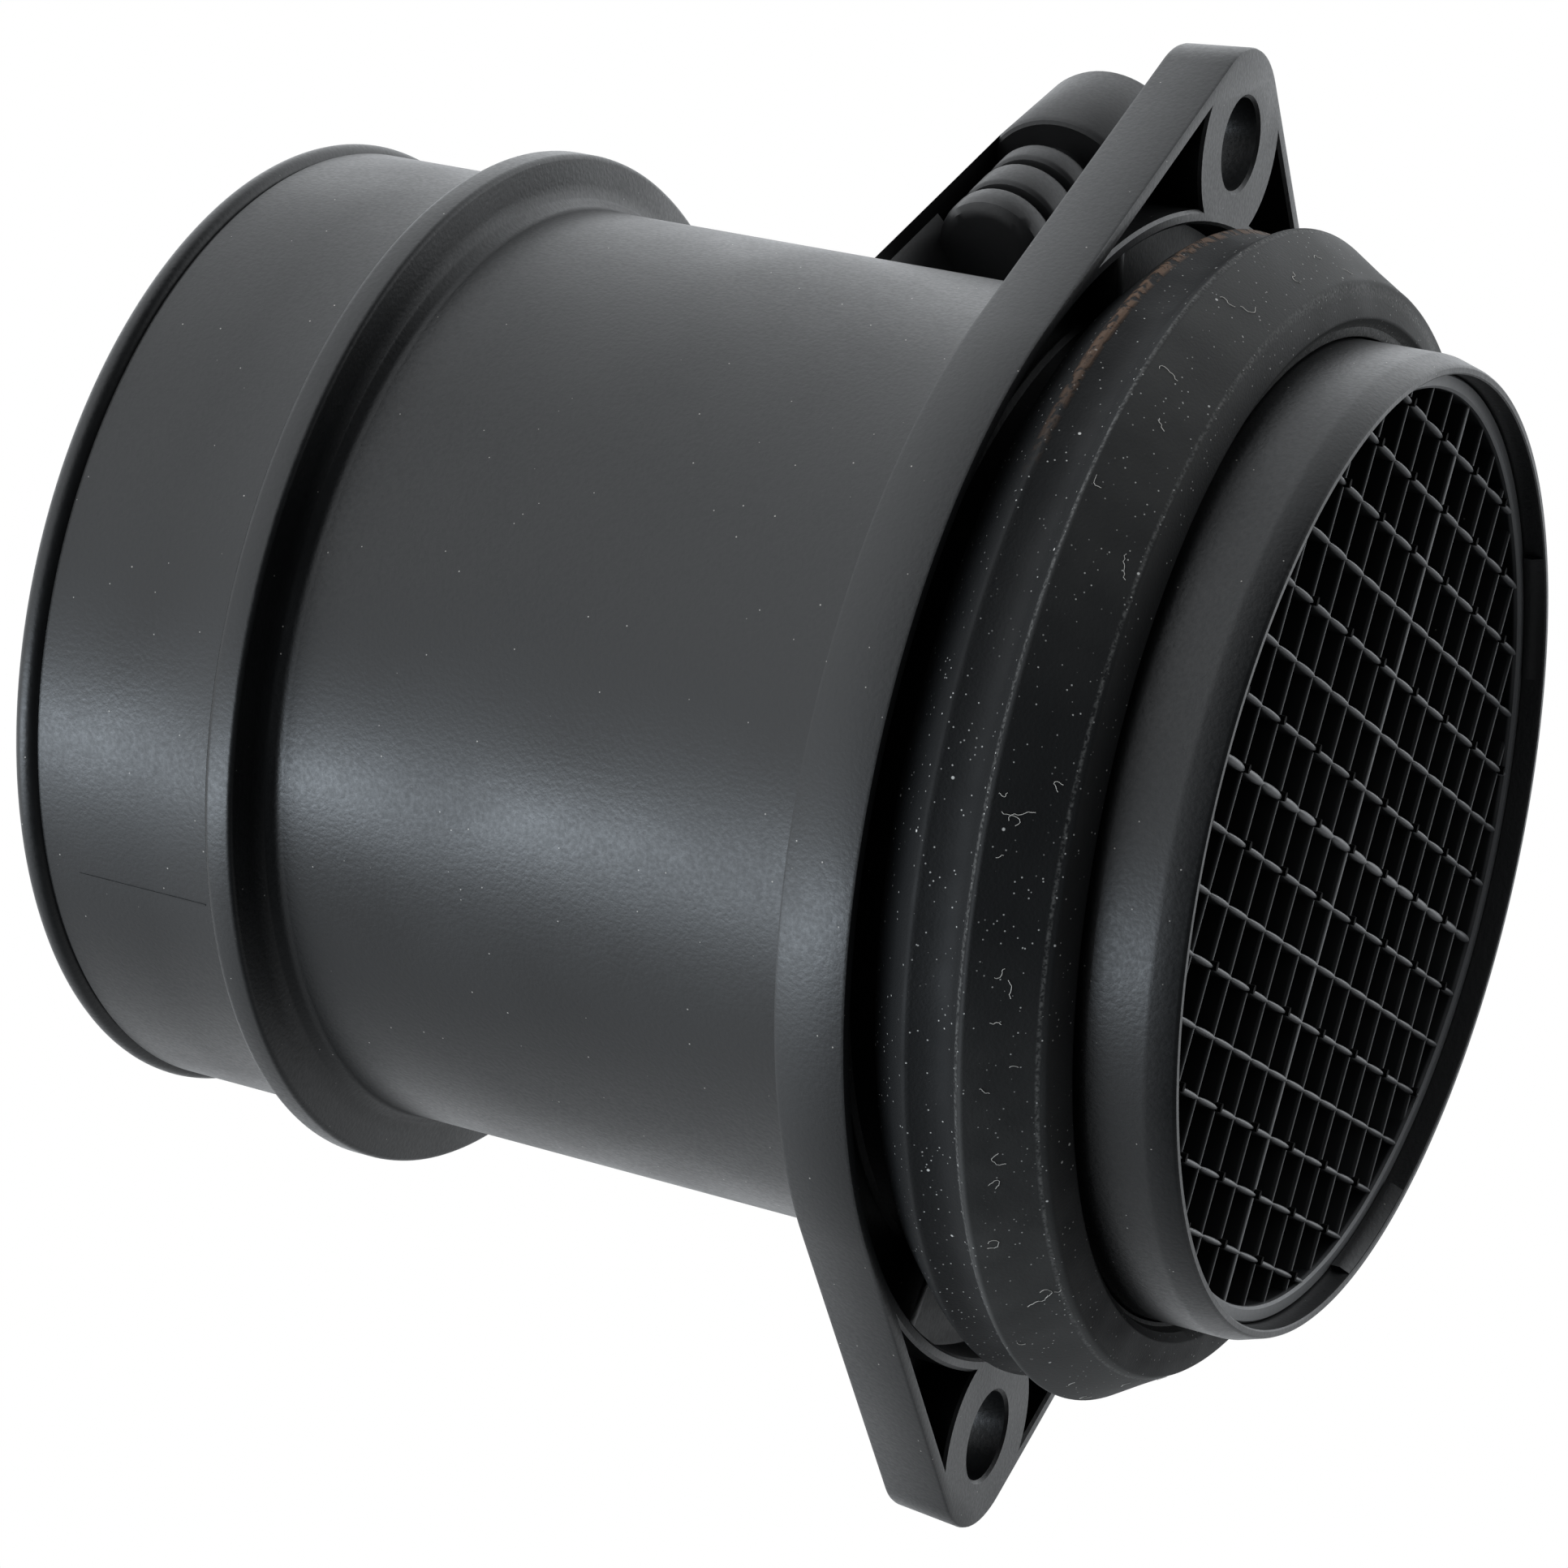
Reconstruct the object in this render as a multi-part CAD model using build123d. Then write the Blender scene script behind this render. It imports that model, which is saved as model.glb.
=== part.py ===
from build123d import *
from math import cos, pi, sin, sqrt
import os

os.makedirs("parts", exist_ok=True)

# A mass airflow sensor, in millimetres. Air enters at +X through the grid and leaves at -X.
# The origin is on the tube's axis in the front face of the flange, and +Z runs up through one ear.
# Outlines that are turned about the tube's axis are lists of (x, radius).

# Tube. Heights are above the body, drops below the flange's rim
bore_r = 36.3
tube_wall = 2.3
outlet_end_x = -77.2
land_h = 1.4
land_wall = 2.7
lip_bead_r = 1.0
lip_proud = 0.6
lip_bead_steps = 4
stop_ring_x = -57.6
stop_ring_w = 2.6
stop_ring_h = 2.9
stop_ring_round = 0.5
stop_ring_root_w = 1.9
stop_ring_root_h = 0.7
bore_taper_l = 3.0

# Flange with two ears
flange_t = 6.0
flange_floor_t = 2.0
flange_h = 7.8
flange_wall = 1.1
flange_draft = 0.4
ear_reach = 5.5
ear_r = 7.6
ear_wall = 1.3
ear_hole_r = 3.7
ear_boss_r = 8.0
flange_rib_t = 1.4
flange_rib_angle = 21.0
flange_rib_drop = 1.6

# Inlet spigot
spigot_h = 0.4
taper_start_x = 20.1
rim_x = 22.3
rim_drop = 0.65
rim_wall = 0.7
snap_lug_angle = 18.0
snap_lug_proud = 0.45
snap_lug_count = 4

# Inlet grid
grid_x = 20.5
grid_depth = 8.0
grid_fit = 0.1
grid_side_count = 7
row_pitch = 4.595
row_middle_extra = 0.23
column_pitch = 4.63
column_middle_extra = 0.12
bar_front_w = 0.75
bar_back_w = 0.45
middle_bar_extra_w = 0.35
grid_turn = -12.5

# Inlet seal
seal_fit = 0.2
seal_rear_x = -0.2
seal_root_drop = 4.2
seal_heel_x = 3.9
seal_heel_drop = 0.9
seal_valley_x = 6.4
seal_valley_drop = 1.5
seal_lip_x = 8.7
seal_lip_drop = 0.1
seal_shoulder_x = 14.0
seal_shoulder_drop = 3.4
seal_front_x = 14.8
seal_front_drop = 6.2
seal_tilt_y = -0.5
seal_tilt_z = 0.5

# Sensor module. Its own frame: z along the tower, out of the tube, y away from the socket
module_x = -25.7
module_angle = 32.3
pad_h = 4.9
pad_length = 40.0
pad_w = 24.0
pad_round = 6.0
plug_length = 21.4
plug_w = 11.4
plug_fit = 0.3
plug_end = 37.6
head_length = 36.0
head_w = 22.0
head_t = 4.0
head_round = 5.0
tower_length = 20.0
tower_w = 9.0
tower_round = 2.0
tower_tip = -8.0

# O-ring and its groove in the plug
o_ring_d = 1.4
o_ring_z = 40.6
o_ring_groove_w = 1.9
o_ring_fit = 0.05

# Screws of the module
screw_spacing = 29.0
screw_shank_r = 1.9
screw_head_r = 3.6
screw_head_t = 2.4
screw_reach = 5.4
screw_fit = 0.08
screw_head_hole_r = 2.2
screw_recess_r = 1.6
screw_recess_depth = 1.4

# Ribbed neck and socket
neck_reach = 8.2
neck_half_w = 4.9
neck_mid = 23.7
neck_ribs = ((33.6, 36.9), (37.9, 41.7), (42.7, 45.5))
neck_groove_depth = 0.9
neck_waist_depth = 1.6
shroud_start = 48.0
shroud_end = 59.1
shroud_mid = 21.6
shroud_reach = 11.0
shroud_half_w = 7.3
shroud_draft = 0.35
shroud_wall = 1.3
socket_floor_t = 1.6
bridge_half_w = 5.5
bridge_from = 8.0
bridge_to = 20.0
shield_wall = 1.2
shield_side = 5.8
saddle_top = 29.0
saddle_foot = 14.5
saddle_high = 36.5
saddle_side = 2.9
saddle_slope = 3.5
tube_gap = 0.3

# Pins
pin_count = 5
pin_pitch = 3.4
pin_w = 1.5
pin_t = 0.64
pin_bottom = 41.5
pin_top = 57.0
pin_fit = 0.03

# Electronics in the tower
cavity_low = 14.5
cavity_high = 36.0
cavity_length = 15.0
cavity_depth = 6.2
lid_t = 1.2
lid_margin = 1.2
lid_fit = 0.1
base_plate_t = 1.0
board_t = 0.8
board_margin = 0.8
board_low = 17.0
chip_size = 5.0
chip_t = 1.2
chip_z = 29.0
capacitor_length = 2.0
capacitor_w = 1.25
capacitor_t = 1.0
capacitor_z = 21.5
capacitor_spacing = 6.0
gel_t = 0.9
seat_gap = 0.05

# Bypass channel round a half ring in the tip of the tower
bypass_port_low = -5.5
bypass_w = 5.0
bypass_inner_r = 2.2
bypass_depth = 5.0
bypass_lid_high = 9.4

# Sensing pieces
element_w = 4.0
element_t = 0.5
element_low = 3.6
element_back = 0.3
bead_r = 0.9
bead_length = 3.2
lead_r = 0.3
bead_nook_low = 20.0
bead_nook_high = 30.0
bead_nook_length = 5.0
bead_nook_depth = 1.1
bead_fit = 0.2

# Derived places
body_r = bore_r + tube_wall
land_r = body_r + land_h
stop_ring_r = land_r + stop_ring_h
stop_ring_root_r = body_r + stop_ring_root_h
spigot_r = body_r + spigot_h
rim_r = spigot_r - rim_drop
flange_r = spigot_r + flange_h
ear_bolt_z = flange_r + ear_reach
pad_top = body_r + pad_h
seal_root_r = flange_r - seal_root_drop
seal_heel_r = flange_r - seal_heel_drop
seal_valley_r = flange_r - seal_valley_drop
seal_lip_r = flange_r - seal_lip_drop
seal_shoulder_r = flange_r - seal_shoulder_drop
seal_front_r = flange_r - seal_front_drop
flange_back_x = -flange_t
flange_floor_x = flange_back_x + flange_floor_t
grid_seat_r = rim_r - rim_wall
grid_back_x = grid_x - grid_depth
stop_ring_end_x = stop_ring_x + stop_ring_w
head_top = pad_top + head_t
screw_end = pad_top - screw_reach
shroud_floor = shroud_start + socket_floor_t
tower_face = -tower_w / 2
lid_high = cavity_high + lid_margin
lid_low = cavity_low - lid_margin


def turned(points):
    """Solid of an outline of (x, radius) points, turned about the tube's axis."""
    return revolve(Plane.XZ * make_face(Polyline(*points, close=True)), Axis.X)


def block(x, y, z):
    """Box from its (low, high) pairs."""
    size = (x[1] - x[0], y[1] - y[0], z[1] - z[0])
    return Pos((x[0] + x[1]) / 2, (y[0] + y[1]) / 2, (z[0] + z[1]) / 2) * Box(*size)


def in_module(shape):
    """Move a piece from the module's frame to its place on the tube."""
    return Pos(module_x, 0, 0) * Rot(module_angle - 90, 0, 0) * shape


def flange_outline(inset):
    """Main circle and two ears, joined by their common tangents."""
    circles = [Edge.make_circle(flange_r - inset)]
    for side in (-1, 1):
        circles.append(Pos(0, side * ear_bolt_z) * Edge.make_circle(ear_r - inset))
    return make_hull(circles)


def at_ears(sketch):
    """The same sketch about the middle of each ear."""
    return [Pos(0, side * ear_bolt_z) * sketch for side in (-1, 1)]


def flange():
    """Plate with a drafted edge, cored from the front down to a thin floor."""
    front = Plane.YZ * flange_outline(0)
    back = Plane.YZ.offset(-flange_t) * flange_outline(flange_draft)
    plate = loft([back, front], ruled=True)
    pockets = flange_outline(ear_wall) - Circle(flange_r)
    pockets -= at_ears(Circle(ear_boss_r))
    pockets += Circle(flange_r - flange_wall) - Circle(spigot_r - tube_wall / 2)
    for angle in (90 - flange_rib_angle, 90 + flange_rib_angle):
        pockets -= Rot(0, 0, angle) * Rectangle(2 * flange_r - flange_wall, flange_rib_t)
    plate -= extrude(Plane.YZ.offset(flange_floor_x) * pockets, flange_t)
    seal_room = Circle(flange_r - flange_wall) - Circle(spigot_r - tube_wall / 2)
    plate -= extrude(Plane.YZ.offset(-flange_rib_drop) * seal_room, flange_t)
    holes = Plane.YZ.offset(-2 * flange_t) * Sketch(children=at_ears(Circle(ear_hole_r)))
    return plate - extrude(holes, 3 * flange_t)


def tube_outside():
    """Outlet land, stop ring, body and spigot as one solid shaft."""
    root_x = stop_ring_end_x + stop_ring_root_w
    bead_mid_r = land_r + lip_proud - lip_bead_r
    turns = [pi * step / lip_bead_steps for step in range(lip_bead_steps)]
    bead = [
        (outlet_end_x + lip_bead_r * (1 - cos(turn)), bead_mid_r + lip_bead_r * sin(turn))
        for turn in turns
    ]
    outline = [
        (outlet_end_x, 0),
        *bead,
        (outlet_end_x + 2 * lip_bead_r, land_r),
        (stop_ring_x, land_r),
        (stop_ring_x, stop_ring_r - stop_ring_round),
        (stop_ring_x + stop_ring_round, stop_ring_r),
        (stop_ring_end_x - stop_ring_round, stop_ring_r),
        (stop_ring_end_x, stop_ring_r - stop_ring_round),
        (stop_ring_end_x + stop_ring_root_w / 3, stop_ring_root_r),
        (root_x, body_r),
        (flange_floor_x, body_r),
        (flange_floor_x, spigot_r),
        (taper_start_x, spigot_r),
        (rim_x, rim_r),
        (rim_x, 0),
    ]
    return turned(outline)


def tube_inside():
    """Bore, with the wider outlet and the seat for the grid."""
    outlet_bore_r = land_r - land_wall
    outline = [
        (outlet_end_x - 1, 0),
        (outlet_end_x - 1, outlet_bore_r),
        (stop_ring_x, outlet_bore_r),
        (stop_ring_x + bore_taper_l, bore_r),
        (grid_back_x, bore_r),
        (grid_back_x, grid_seat_r),
        (rim_x + 1, grid_seat_r),
        (rim_x + 1, 0),
    ]
    return turned(outline)


def snap_lugs():
    """Wedges in the rim that the grid snaps in behind."""
    root_r = grid_seat_r + rim_wall / 2
    low_x = grid_x + seat_gap
    outline = [
        (low_x, root_r),
        (low_x, grid_seat_r - snap_lug_proud),
        (low_x + (rim_x - low_x) / 2, grid_seat_r - snap_lug_proud),
        (rim_x - seat_gap, grid_seat_r),
        (rim_x - seat_gap, root_r),
    ]
    face = Plane.XZ * make_face(Polyline(*outline, close=True))
    lug = revolve(face, Axis.X, snap_lug_angle)
    # A face in the XZ plane starts at +Z, and module_angle is measured from +Y
    start = module_angle - 90 - snap_lug_angle / 2
    step = 360 / snap_lug_count
    return [Rot(start + step * index, 0, 0) * lug for index in range(snap_lug_count)]


def module_pad():
    """Raised pad that the module's head sits on."""
    foot = sqrt(bore_r**2 - (pad_w / 2) ** 2) - 2
    outline = Pos(0, 0, foot) * RectangleRounded(pad_length, pad_w, pad_round)
    return in_module(extrude(outline, pad_top - foot))


def module_opening():
    """Opening for the plug and the two blind holes for the screws."""
    outline = SlotOverall(plug_length + 2 * plug_fit, plug_w + 2 * plug_fit)
    cut = extrude(Pos(0, 0, bore_r / 2) * outline, pad_top)
    for side in (-1, 1):
        depth = screw_reach + plug_fit
        hole = Cylinder(screw_shank_r + screw_fit, 2 * depth)
        cut += Pos(side * screw_spacing / 2, 0, pad_top) * hole
    return in_module(cut)


def tube_housing():
    shell = tube_outside() + flange() + module_pad()
    shell = shell - tube_inside() - module_opening()
    return shell + snap_lugs()


def grid_bar(width, across):
    """One drafted bar of the lattice, thick at the front, across the opening at a height."""
    half_front = width / 2
    half_back = half_front - (bar_front_w - bar_back_w) / 2
    section = Plane.XY * make_face(
        Polyline(
            (grid_back_x, across - half_back),
            (grid_x, across - half_front),
            (grid_x, across + half_front),
            (grid_back_x, across + half_back),
            close=True,
        )
    )
    return extrude(section, bore_r + grid_fit, both=True)


def lattice(pitch, middle_extra):
    """A family of parallel bars, the middle one thicker."""
    bars = []
    for index in range(-grid_side_count, grid_side_count + 1):
        side = (index > 0) - (index < 0)
        width = bar_front_w if index else bar_front_w + middle_bar_extra_w
        bars.append(grid_bar(width, index * pitch + side * middle_extra))
    return bars


def inlet_grid():
    """Lattice of crossing bars in a ring that seats in the spigot."""
    rows = [Rot(90, 0, 0) * bar for bar in lattice(row_pitch, row_middle_extra)]
    columns = lattice(column_pitch, column_middle_extra)
    mesh = rows[0].fuse(*rows[1:], *columns)
    ring_r = grid_seat_r - grid_fit
    across = (ring_r + bore_r) / 2
    mesh = mesh & turned([(grid_back_x, 0), (grid_back_x, across), (grid_x, across), (grid_x, 0)])
    ring = turned([(grid_back_x, bore_r), (grid_back_x, ring_r), (grid_x, ring_r), (grid_x, bore_r)])
    return Rot(grid_turn, 0, 0) * (ring + mesh)


def inlet_seal():
    """Rubber seal with two lips. The lips sit askew on a straight bore."""
    outline = [
        (seal_rear_x, 0),
        (seal_rear_x, seal_root_r),
        (seal_heel_x - 1, seal_heel_r - 0.6),
        (seal_heel_x, seal_heel_r),
        (seal_valley_x, seal_valley_r),
        (seal_lip_x - 0.8, seal_lip_r - 0.3),
        (seal_lip_x, seal_lip_r),
        (seal_shoulder_x, seal_shoulder_r),
        (seal_front_x, seal_front_r),
        (seal_front_x, 0),
    ]
    seal_mid_x = (seal_rear_x + seal_front_x) / 2
    lips = Pos(-seal_mid_x, 0, 0) * turned(outline)
    lips = Pos(seal_mid_x, 0, 0) * Rot(0, seal_tilt_y, seal_tilt_z) * lips
    bore = Plane.YZ.offset(-2 * flange_t) * Circle(spigot_r + seal_fit)
    return lips - extrude(bore, 2 * (flange_t + rim_x))


def racetrack(reach, half_w, mid, z):
    """Rounded outline across the neck or the socket, long across the tube."""
    return Pos(0, -mid, z) * SlotOverall(2 * reach, 2 * half_w, rotation=90)


def neck():
    """Ribbed neck below the socket, with a deep waist under the shroud."""
    start, ribs_end = neck_ribs[0][0], neck_ribs[-1][1]
    core = racetrack(neck_reach - neck_waist_depth, neck_half_w - neck_waist_depth, neck_mid, start)
    solid = extrude(core, shroud_floor - start)
    groove_far = neck_reach - neck_groove_depth
    groove = racetrack(groove_far, neck_half_w - neck_groove_depth, neck_mid, start)
    solid += extrude(groove, ribs_end - start)
    for low, high in neck_ribs:
        solid += extrude(racetrack(neck_reach, neck_half_w, neck_mid, low), high - low)
    return solid


def drafted(inset, low, high):
    """Solid of the socket's outline, a little wider at the foot, set in from the outside."""
    sections = []
    for z in (low, high):
        grow = shroud_draft * (shroud_end - z) / (shroud_end - shroud_start) - inset
        sections.append(racetrack(shroud_reach + grow, shroud_half_w + grow, shroud_mid, z))
    return loft(sections, ruled=True)


def shroud():
    """Wall round the socket, open at the end, on a thick floor, and the space in it."""
    outer = drafted(0, shroud_start, shroud_end)
    return outer, drafted(shroud_wall, shroud_floor, shroud_end)


def shield():
    """Part of the shroud's wall that goes on down to the tube on the outlet side."""
    outline = racetrack(shroud_reach + shroud_draft, shroud_half_w + shroud_draft, shroud_mid, 0)
    outline -= offset(outline, -shield_wall)
    beside = -shield_side - shroud_half_w
    outline &= Pos(beside, -shroud_mid) * Rectangle(2 * shroud_half_w, 4 * shroud_reach)
    return extrude(outline, shroud_floor)


def saddle():
    """Sloping fill between the shield and the neck, next to the tube."""
    side = -shroud_half_w
    outline = Polyline(
        (side, -saddle_foot),
        (side, -saddle_top),
        (-shield_side, -saddle_top),
        (-saddle_side, saddle_slope - saddle_top),
        (-saddle_side, -saddle_foot),
        close=True,
    )
    return extrude(make_face(outline), saddle_high)


def beside_tube():
    """Neck, shield and saddle, clear of the tube."""
    tube = Rot(0, 90, 0) * Cylinder(body_r + tube_gap, 2 * pad_length)
    return neck() + shield() + saddle() - tube


def pin_places():
    """Distance of each pin from the tower's middle plane."""
    first = -(pin_count - 1) / 2
    return [shroud_mid + (first + index) * pin_pitch for index in range(pin_count)]


def pin(place, fit):
    """Flat blade of one pin, or its slot when given a fit."""
    x = pin_t / 2 + fit
    y = pin_w / 2 + fit
    return block((-x, x), (-place - y, -place + y), (pin_bottom - fit, pin_top + fit))


def half_ring(outer_r, inner_r, low_y, high_y, centre_z):
    """Upper half of a flat ring in the tower's plane."""
    ring = Rot(90, 0, 0) * (Cylinder(outer_r, high_y - low_y) - Cylinder(inner_r, 3 * bypass_w))
    keep = Pos(0, 0, outer_r) * Box(3 * outer_r, 3 * bypass_w, 2 * outer_r)
    return Pos(0, (low_y + high_y) / 2, centre_z) * (ring & keep)


def bypass_channel():
    """Inlet port, half ring and outlet port, open toward the lid."""
    low = tower_face - 1
    floor_y = tower_face + lid_t + bypass_depth
    port_high = bypass_port_low + bypass_w
    outer_r = bypass_inner_r + bypass_w
    channel = half_ring(outer_r, bypass_inner_r, low, floor_y, port_high)
    for side in (-1, 1):
        ends = sorted((side * bypass_inner_r, side * (tower_length / 2 + 1)))
        seal_strip = tower_face + lid_t
        port = block(ends, (seal_strip, floor_y), (bypass_port_low, port_high))
        inner_ends = sorted((side * bypass_inner_r, side * (tower_length / 2 - lid_margin)))
        channel += port + block(inner_ends, (low, floor_y), (bypass_port_low, port_high))
    return channel


def lid_space(low_z, high_z, length, fit):
    """Seat of a lid in the tower's face, or the lid itself when given a fit."""
    half = length / 2 + lid_margin / 2 - fit
    return block((-half, half), (tower_face, tower_face + lid_t), (low_z + fit, high_z - fit))


def electronics_lid(fit):
    return lid_space(lid_low, lid_high, cavity_length, fit)


def bypass_lid(fit):
    length = tower_length - 2 * lid_margin
    return lid_space(bypass_port_low - lid_margin, bypass_lid_high, length, fit)


def cavity_bottom():
    return tower_face + cavity_depth


def in_cavity(half_length, thickness, above, low_z, high_z):
    """Flat piece in the electronics cavity, at a height above its bottom."""
    bottom = cavity_bottom() - above
    return block((-half_length, half_length), (bottom - thickness, bottom), (low_z, high_z))


def element(fit):
    """Thin sensing blade from the board down into the bypass, or its slot when given a fit."""
    back = cavity_bottom() - base_plate_t - board_t - element_back
    half = element_w / 2 + fit
    y = (back - element_t - fit, back + fit)
    return block((-half, half), y, (element_low - fit, board_low - seat_gap))


def bead_nook():
    half = bead_nook_length / 2
    y = (tower_w / 2 - bead_nook_depth - bead_r, tower_w / 2 + 1)
    return block((-half, half), y, (bead_nook_low, bead_nook_high))


def module_housing():
    body = extrude(Pos(0, 0, pad_top) * RectangleRounded(head_length, head_w, head_round), head_t)
    body += extrude(Pos(0, 0, plug_end) * SlotOverall(plug_length, plug_w), pad_top - plug_end)
    tower = Pos(0, 0, tower_tip) * RectangleRounded(tower_length, tower_w, tower_round)
    body += extrude(tower, plug_end - tower_tip)
    outer, inner = shroud()
    bridge_x = (-bridge_half_w, bridge_half_w)
    body += block(bridge_x, (-bridge_to, -bridge_from), (pad_top, shroud_floor))
    body = body + beside_tube() + outer
    body -= inner
    groove_z = (o_ring_z - o_ring_groove_w / 2, o_ring_z + o_ring_groove_w / 2)
    around = Pos(0, 0, groove_z[0]) * SlotOverall(2 * plug_length, 2 * plug_length - 1)
    core = Pos(0, 0, groove_z[0]) * SlotOverall(*o_ring_core())
    body -= extrude(around - core, o_ring_groove_w)
    for side in (-1, 1):
        hole = Cylinder(screw_head_hole_r, 3 * head_t)
        body -= Pos(side * screw_spacing / 2, 0, head_top) * hole
    for place in pin_places():
        body -= pin(place, pin_fit)
    cavity = block(
        (-cavity_length / 2, cavity_length / 2), (tower_face - 1, cavity_bottom()), (cavity_low, cavity_high)
    )
    body -= [cavity, electronics_lid(0), bypass_channel(), bypass_lid(0), element(seat_gap), bead_nook()]
    return in_module(body)


def o_ring_core():
    """Length and width of the plug at the bottom of the O-ring's groove."""
    depth = o_ring_d + 2 * o_ring_fit - plug_fit
    return plug_length - 2 * depth, plug_w - 2 * depth


def module_o_ring():
    length, width = o_ring_core()
    grow = o_ring_d + 2 * o_ring_fit
    path = Pos(0, 0, o_ring_z) * SlotOverall(length + grow, width + grow).wire()
    start = path.edges()[0]
    section = Plane(origin=start @ 0, z_dir=start % 0) * RegularPolygon(o_ring_d / 2, 8)
    return in_module(sweep(section, path=path))


def module_screw(side):
    """Pan head screw with a six-sided recess."""
    head = Pos(0, 0, head_top + screw_head_t / 2) * Cylinder(screw_head_r, screw_head_t)
    head = chamfer(head.edges().group_by(Axis.Z)[-1], screw_head_t / 3)
    length = head_top - screw_end
    shank = Pos(0, 0, screw_end + length / 2) * Cylinder(screw_shank_r, length)
    top = head_top + screw_head_t
    recess = Pos(0, 0, top - screw_recess_depth) * RegularPolygon(screw_recess_r, 6)
    screw = head + shank - extrude(recess, 2 * screw_recess_depth)
    return in_module(Pos(side * screw_spacing / 2, 0, 0) * screw)


def base_plate():
    half = cavity_length / 2 - seat_gap
    return in_module(in_cavity(half, base_plate_t, 0, cavity_low + seat_gap, cavity_high - seat_gap))


def circuit_board():
    half = cavity_length / 2 - board_margin
    high = cavity_high - board_margin
    return in_module(in_cavity(half, board_t, base_plate_t, board_low, high))


def on_board(x, z, length, width, thickness):
    bottom = cavity_bottom() - base_plate_t - board_t
    part = block((-length / 2, length / 2), (bottom - thickness, bottom), (-width / 2, width / 2))
    return in_module(Pos(x, 0, z) * part)


def electronics_gel():
    """Soft filling between the tops of the components and the lid."""
    above = base_plate_t + board_t + chip_t + seat_gap
    half = cavity_length / 2 - seat_gap
    return in_module(in_cavity(half, gel_t, above, cavity_low + seat_gap, cavity_high - seat_gap))


def temperature_sensor():
    """Bead on its two leads, held at the ends of its nook."""
    y = tower_w / 2 - bead_nook_depth
    mid = (bead_nook_low + bead_nook_high) / 2
    bead = Pos(0, y, mid) * Cylinder(bead_r - bead_fit, bead_length)
    leads = Pos(0, y, mid) * Cylinder(lead_r, bead_nook_high - bead_nook_low)
    return in_module(bead + leads)


export_step(tube_housing(), "parts/tube_housing.step")
export_step(inlet_grid(), "parts/inlet_grid.step")
export_step(inlet_seal(), "parts/inlet_seal.step")
export_step(module_housing(), "parts/module_housing.step")
export_step(in_module(electronics_lid(lid_fit)), "parts/electronics_cover.step")
export_step(in_module(bypass_lid(lid_fit)), "parts/bypass_cover.step")
export_step(module_o_ring(), "parts/module_o_ring.step")
export_step(base_plate(), "parts/base_plate.step")
export_step(circuit_board(), "parts/circuit_board.step")
export_step(on_board(0, chip_z, chip_size, chip_size, chip_t), "parts/control_chip.step")
export_step(electronics_gel(), "parts/electronics_gel.step")
export_step(in_module(element(0)), "parts/sensor_element.step")
export_step(temperature_sensor(), "parts/temperature_sensor.step")
for number, side in ((1, -1), (2, 1)):
    capacitor = on_board(
        side * capacitor_spacing / 2, capacitor_z, capacitor_length, capacitor_w, capacitor_t
    )
    export_step(capacitor, f"parts/capacitor_{number}.step")
    export_step(module_screw(side), f"parts/module_screw_{number}.step")
for number, place in enumerate(pin_places(), 1):
    export_step(in_module(pin(place, 0)), f"parts/terminal_{number}.step")
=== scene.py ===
# %% [markdown]
# # A mass airflow sensor
# This is the air meter of an engine: a short black duct that bolts to the air filter box by two ears. A
# rubber seal and a lattice grid sit at its inlet, and a sensor module is screwed into its far side. The
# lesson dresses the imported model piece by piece. Each step says what the piece is on the real object,
# how it could be made, and why it is made this way.

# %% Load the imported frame
import bpy
import random
from math import cos, hypot, pi, radians, sin, sqrt
from mathutils import Matrix, Vector


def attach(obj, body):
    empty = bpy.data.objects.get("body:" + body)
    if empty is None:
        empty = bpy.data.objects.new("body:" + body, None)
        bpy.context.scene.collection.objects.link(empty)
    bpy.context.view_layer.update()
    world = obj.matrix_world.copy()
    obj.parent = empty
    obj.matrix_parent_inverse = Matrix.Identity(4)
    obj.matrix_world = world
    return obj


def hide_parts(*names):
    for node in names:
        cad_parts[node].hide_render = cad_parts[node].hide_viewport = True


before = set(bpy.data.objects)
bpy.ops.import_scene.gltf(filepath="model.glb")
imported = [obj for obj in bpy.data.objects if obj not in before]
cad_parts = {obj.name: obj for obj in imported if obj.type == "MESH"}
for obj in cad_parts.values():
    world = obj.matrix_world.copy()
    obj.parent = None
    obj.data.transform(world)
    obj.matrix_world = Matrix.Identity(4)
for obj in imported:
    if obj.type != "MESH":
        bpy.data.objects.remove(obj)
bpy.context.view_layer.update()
bpy.ops.object.select_all(action="DESELECT")

# %% [markdown]
# ## The camera
# The photograph looks along the duct from the inlet's side, a little from above, with the camera turned
# so that the upper ear leans right. The place of the camera was worked out from the object's circles. A
# long lens keeps the far rim nearly as large as the near one. An aim point and a roll angle are easier
# to read than a matrix.

# %% Camera
MM = 0.001
camera_data = bpy.data.cameras.new("camera")
camera_data.lens = 113.6
camera_data.sensor_width = 36.0
camera_data.clip_start = 0.01
camera = bpy.data.objects.new("camera", camera_data)
bpy.context.scene.collection.objects.link(camera)
camera_place = Vector((141.33, -365.94, 26.87)) * MM
camera_aim = Vector((-26.51, -4.21, -4.45)) * MM
camera_roll = radians(10.81)
look = (camera_aim - camera_place).to_track_quat("-Z", "Y").to_matrix().to_4x4()
camera.matrix_world = Matrix.Translation(camera_place) @ look @ Matrix.Rotation(camera_roll, 4, "Z")
bpy.context.scene.camera = camera
print("camera to aim, mm", round((camera_aim - camera_place).length / MM))

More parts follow.
